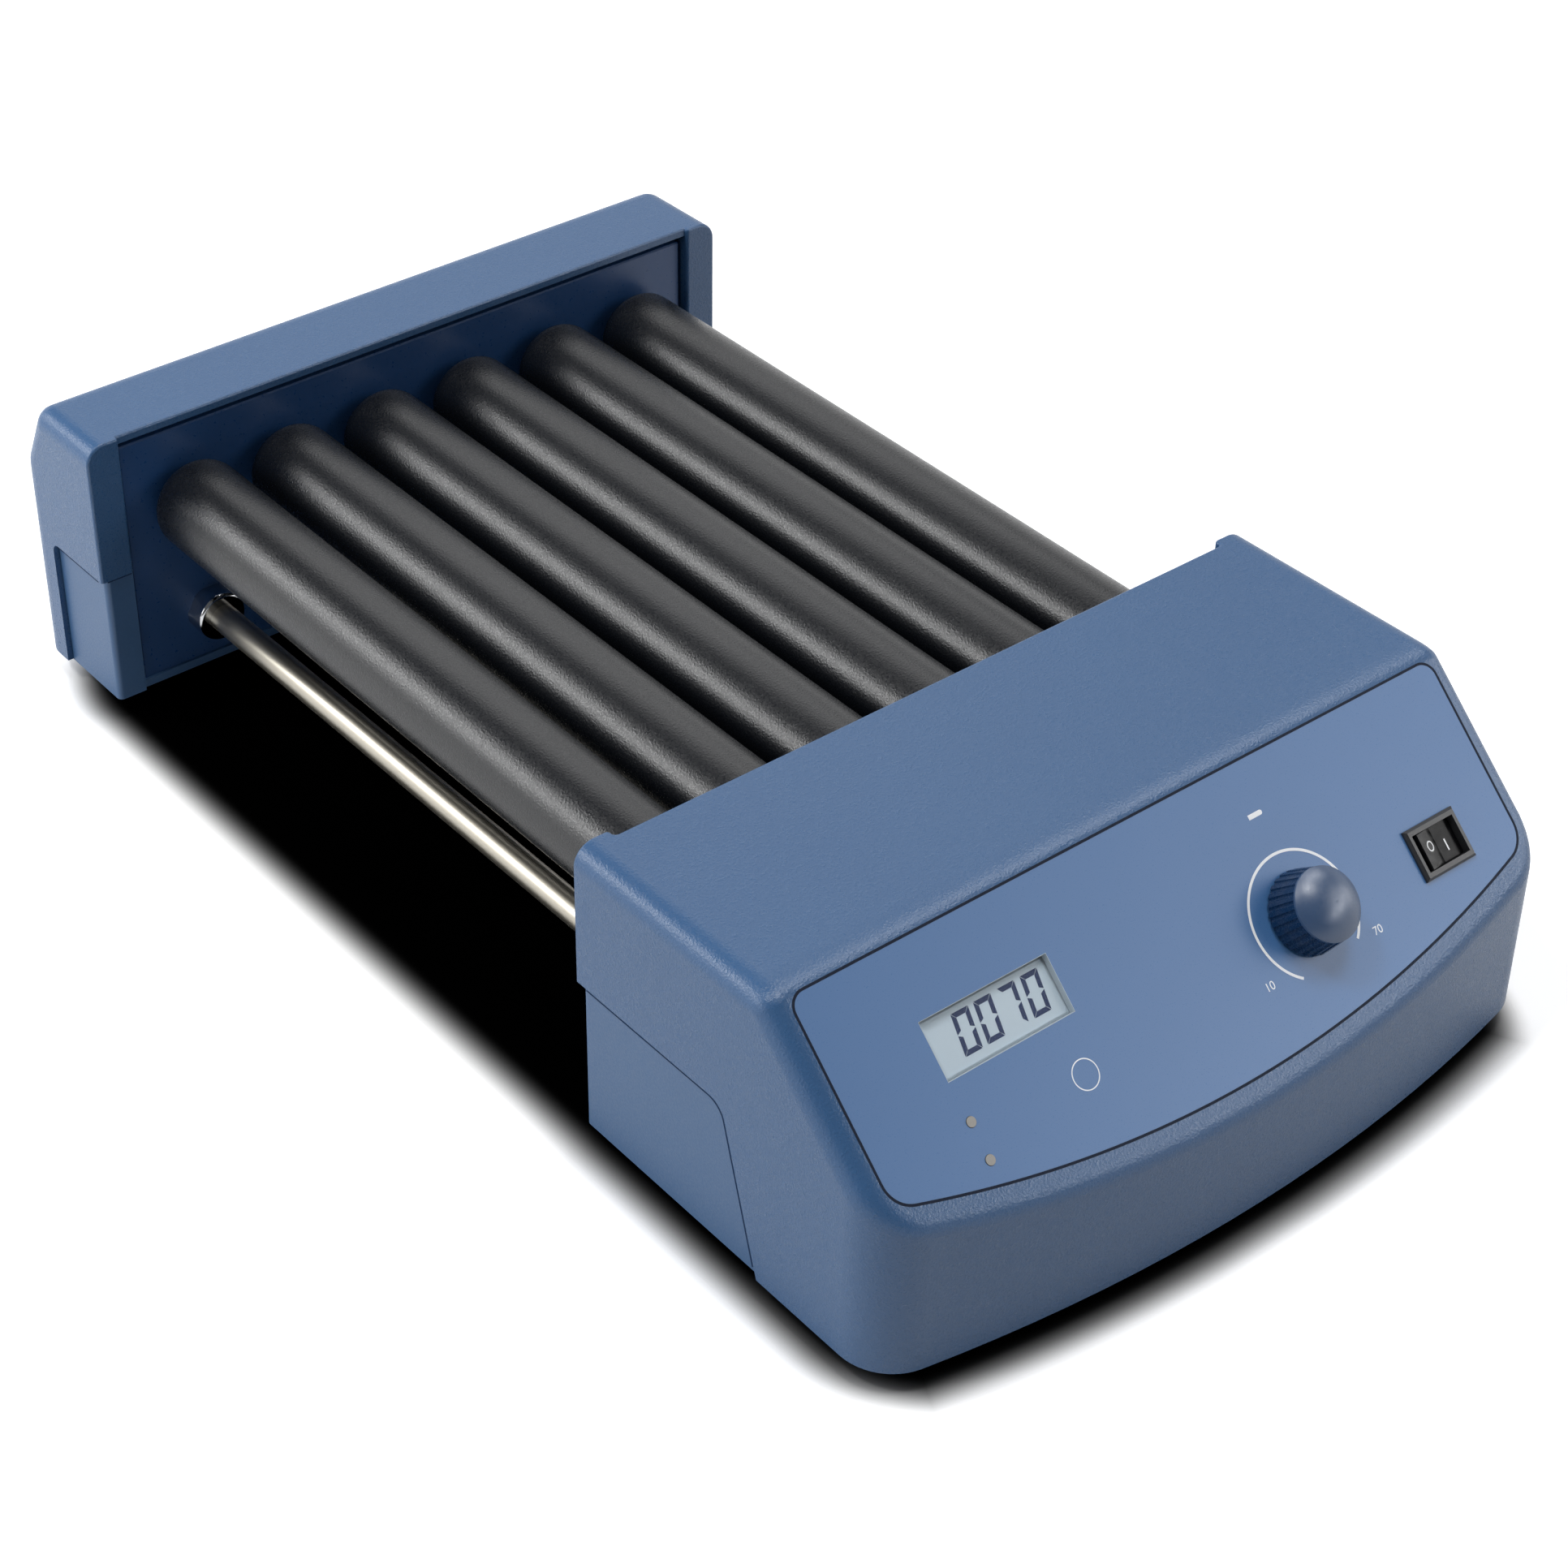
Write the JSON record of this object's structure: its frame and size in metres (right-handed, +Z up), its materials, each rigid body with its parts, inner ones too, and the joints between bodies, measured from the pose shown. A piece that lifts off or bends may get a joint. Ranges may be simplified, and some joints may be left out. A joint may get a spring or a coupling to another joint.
{
  "type": "roller mixer",
  "caption": "Bench roller mixer: rubber rollers between a control housing with display, speed knob and rocker switch and an end housing, joined by tie rods.",
  "frame": {"origin": "on the table, under the middle of the overall box", "axes": "+X across the machine towards the switch, +Y along the rollers from the control housing to the end housing, +Z up"},
  "size_m": [0.263, 0.4646, 0.11],
  "materials": {
    "housing": "fine-grained metallic blue-grey",
    "housing_base": "fine-grained dark blue-grey",
    "plate": "satin dark navy",
    "overlay": "satin printed film",
    "display_window": "clear",
    "display": "pale blue-grey liquid crystal",
    "lamp_lens": "frosted",
    "switch_plastic": "satin black",
    "rocker_plastic": "glossy black",
    "knob_skirt": "satin dark navy",
    "knob_cap": "satin navy",
    "steel": "plain",
    "motor_steel": "zinc plated",
    "rod_steel": "ground",
    "polished_nut": "polished",
    "aluminium_part": "turned",
    "belt_rubber": "matte",
    "foot_rubber": "matte",
    "roller_rubber": "fine-grained satin black",
    "bush_plastic": "natural",
    "pulley_plastic": "moulded black",
    "board": "solder mask",
    "brass_part": "turned",
    "inlet_plastic": "moulded black"
  },
  "bodies": {
    "chassis": {"control_cover": "housing", "end_cover": "housing", "control_base": "housing_base", "end_base": "housing_base", "control_plate": "plate", "end_plate": "plate", "panel_overlay": "overlay", "lcd_window": "display_window", "lcd_module": "display", "lamp_lenses": "lamp_lens", "switch_body": "switch_plastic", "potentiometer": "steel", "motor": "motor_steel", "motor_bracket": "steel", "roller_belts": "belt_rubber", "drive_belt": "belt_rubber", "tie_rods": "rod_steel", "rod_collars": "polished_nut", "rod_nuts": "steel", "feet": "foot_rubber", "foot_screws": "steel", "cover_screws": "steel", "plate_screws": "steel", "motor_screws": "steel", "roller_bushes": "bush_plastic", "control_board": "board", "power_board": "board", "board_standoffs": "brass_part", "mains_inlet": "inlet_plastic"},
    "roller_1": {"roller_1_sleeve": "roller_rubber", "roller_1_core": "aluminium_part", "roller_1_shafts": "steel", "roller_1_pulley": "pulley_plastic"},
    "roller_2": {"roller_2_sleeve": "roller_rubber", "roller_2_core": "aluminium_part", "roller_2_shafts": "steel", "roller_2_pulley": "pulley_plastic"},
    "roller_3": {"roller_3_sleeve": "roller_rubber", "roller_3_core": "aluminium_part", "roller_3_shafts": "steel", "roller_3_pulley": "pulley_plastic"},
    "roller_4": {"roller_4_sleeve": "roller_rubber", "roller_4_core": "aluminium_part", "roller_4_shafts": "steel", "roller_4_pulley": "pulley_plastic"},
    "roller_5": {"roller_5_sleeve": "roller_rubber", "roller_5_core": "aluminium_part", "roller_5_shafts": "steel", "roller_5_pulley": "pulley_plastic"},
    "roller_6": {"roller_6_sleeve": "roller_rubber", "roller_6_core": "aluminium_part", "roller_6_shafts": "steel", "roller_6_pulley": "pulley_plastic"},
    "drive": {"motor_pulley": "aluminium_part", "motor_shaft": "steel"},
    "knob": {"speed_knob": "knob_skirt", "knob_cap": "knob_cap", "pot_shaft": "aluminium_part"},
    "rocker": {"switch_rocker": "rocker_plastic"}
  },
  "joints": [
    {"name": "roller_1_spin", "type": "hinge", "parent": "chassis", "child": "roller_1", "pos_m": [-0.09375, 0.04775, 0.0759], "axis": [0, 1, 0], "continuous": true},
    {"name": "roller_2_spin", "type": "hinge", "parent": "chassis", "child": "roller_2", "pos_m": [-0.05625, 0.04775, 0.0759], "axis": [0, 1, 0], "continuous": true},
    {"name": "roller_3_spin", "type": "hinge", "parent": "chassis", "child": "roller_3", "pos_m": [-0.01875, 0.04775, 0.0759], "axis": [0, 1, 0], "continuous": true},
    {"name": "roller_4_spin", "type": "hinge", "parent": "chassis", "child": "roller_4", "pos_m": [0.01875, 0.04775, 0.0759], "axis": [0, 1, 0], "continuous": true},
    {"name": "roller_5_spin", "type": "hinge", "parent": "chassis", "child": "roller_5", "pos_m": [0.05625, 0.04775, 0.0759], "axis": [0, 1, 0], "continuous": true},
    {"name": "roller_6_spin", "type": "hinge", "parent": "chassis", "child": "roller_6", "pos_m": [0.09375, 0.04775, 0.0759], "axis": [0, 1, 0], "continuous": true},
    {"name": "drive_spin", "type": "hinge", "parent": "chassis", "child": "drive", "pos_m": [-0.01875, -0.12, 0.036], "axis": [0, 1, 0], "continuous": true},
    {"name": "knob_turn", "type": "hinge", "parent": "chassis", "child": "knob", "pos_m": [0.0388, -0.20324, 0.07573], "axis": [0, -0.6896, 0.7242], "range_deg": [0, 286]},
    {"name": "rocker_tilt", "type": "hinge", "parent": "chassis", "child": "rocker", "pos_m": [0.0943, -0.20293, 0.07243], "axis": [0, -0.7242, -0.6896], "range_deg": [0, 20]}
  ],
  "couplings": [
    {"joint": "roller_2_spin", "follows": "roller_1_spin", "ratio": 1},
    {"joint": "roller_3_spin", "follows": "roller_1_spin", "ratio": 1},
    {"joint": "roller_4_spin", "follows": "roller_1_spin", "ratio": 1},
    {"joint": "roller_5_spin", "follows": "roller_1_spin", "ratio": 1},
    {"joint": "roller_6_spin", "follows": "roller_1_spin", "ratio": 1},
    {"joint": "drive_spin", "follows": "roller_1_spin", "ratio": 1.3293}
  ]
}
